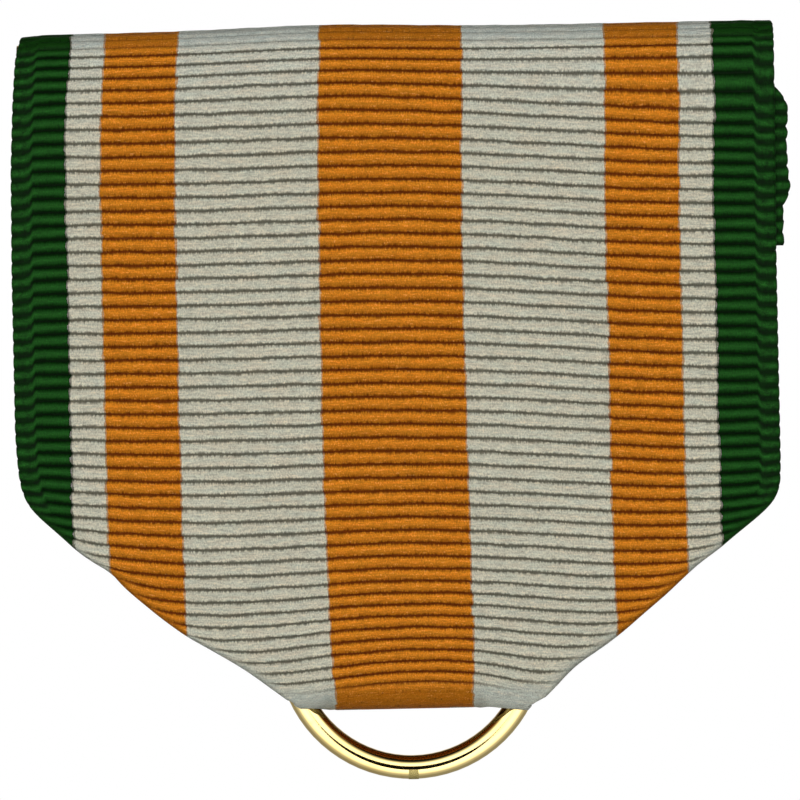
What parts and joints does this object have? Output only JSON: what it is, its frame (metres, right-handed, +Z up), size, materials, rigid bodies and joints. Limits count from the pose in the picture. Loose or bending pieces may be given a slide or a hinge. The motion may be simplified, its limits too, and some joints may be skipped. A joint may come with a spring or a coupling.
{
  "type": "service medal ribbon drape",
  "caption": "Pentagonal striped medal ribbon on a pin-back bar brooch with safety catch, with a wire ring at its foot for hanging a medal.",
  "frame": {"origin": "middle of the straight shank of the closed pin, on its axis", "axes": "+X along the pin from hinge to point, +Z up as worn, -Y out of the front of the ribbon"},
  "size_m": [0.0353, 0.0047, 0.0343],
  "materials": {
    "gilt_brass": "satin",
    "pin_steel": "satin",
    "ribbon_cloth": "ribbed weave",
    "sewing_thread": "twisted thread",
    "gilt_wire": "polished",
    "solder": "matte"
  },
  "bodies": {
    "brooch": {"brooch_plate": "gilt_brass", "top_bar": "gilt_brass", "hinge_bracket": "gilt_brass", "hinge_rivet": "gilt_brass", "catch_housing": "gilt_brass"},
    "pin": {"pin_stem": "pin_steel"},
    "catch": {"catch_rotor": "gilt_brass"},
    "drape": {"ribbon_drape": "ribbon_cloth", "seam_top_tail": "sewing_thread", "seam_flap_left": "sewing_thread", "seam_flap_right": "sewing_thread", "seam_turnup_left": "sewing_thread", "seam_turnup_right": "sewing_thread"},
    "ring": {"suspension_ring": "gilt_wire", "ring_solder": "solder"}
  },
  "joints": [
    {"name": "pin_swing", "type": "hinge", "parent": "brooch", "child": "pin", "pos_m": [-0.0142, 0, 0], "axis": [0, 0, 1], "range_deg": [0, 110]},
    {"name": "catch_turn", "type": "hinge", "parent": "brooch", "child": "catch", "pos_m": [0.0142, 0, 0], "axis": [-1, 0, 0], "range_deg": [0, 90]},
    {"name": "drape_swing", "type": "hinge", "parent": "brooch", "child": "drape", "pos_m": [0, -0.0023, 0.003], "axis": [-1, 0, 0], "range_deg": [0, 60]},
    {"name": "ring_drop", "type": "slide", "parent": "drape", "child": "ring", "axis": [0, 0, -1], "range_m": [0, 0.005]}
  ]
}
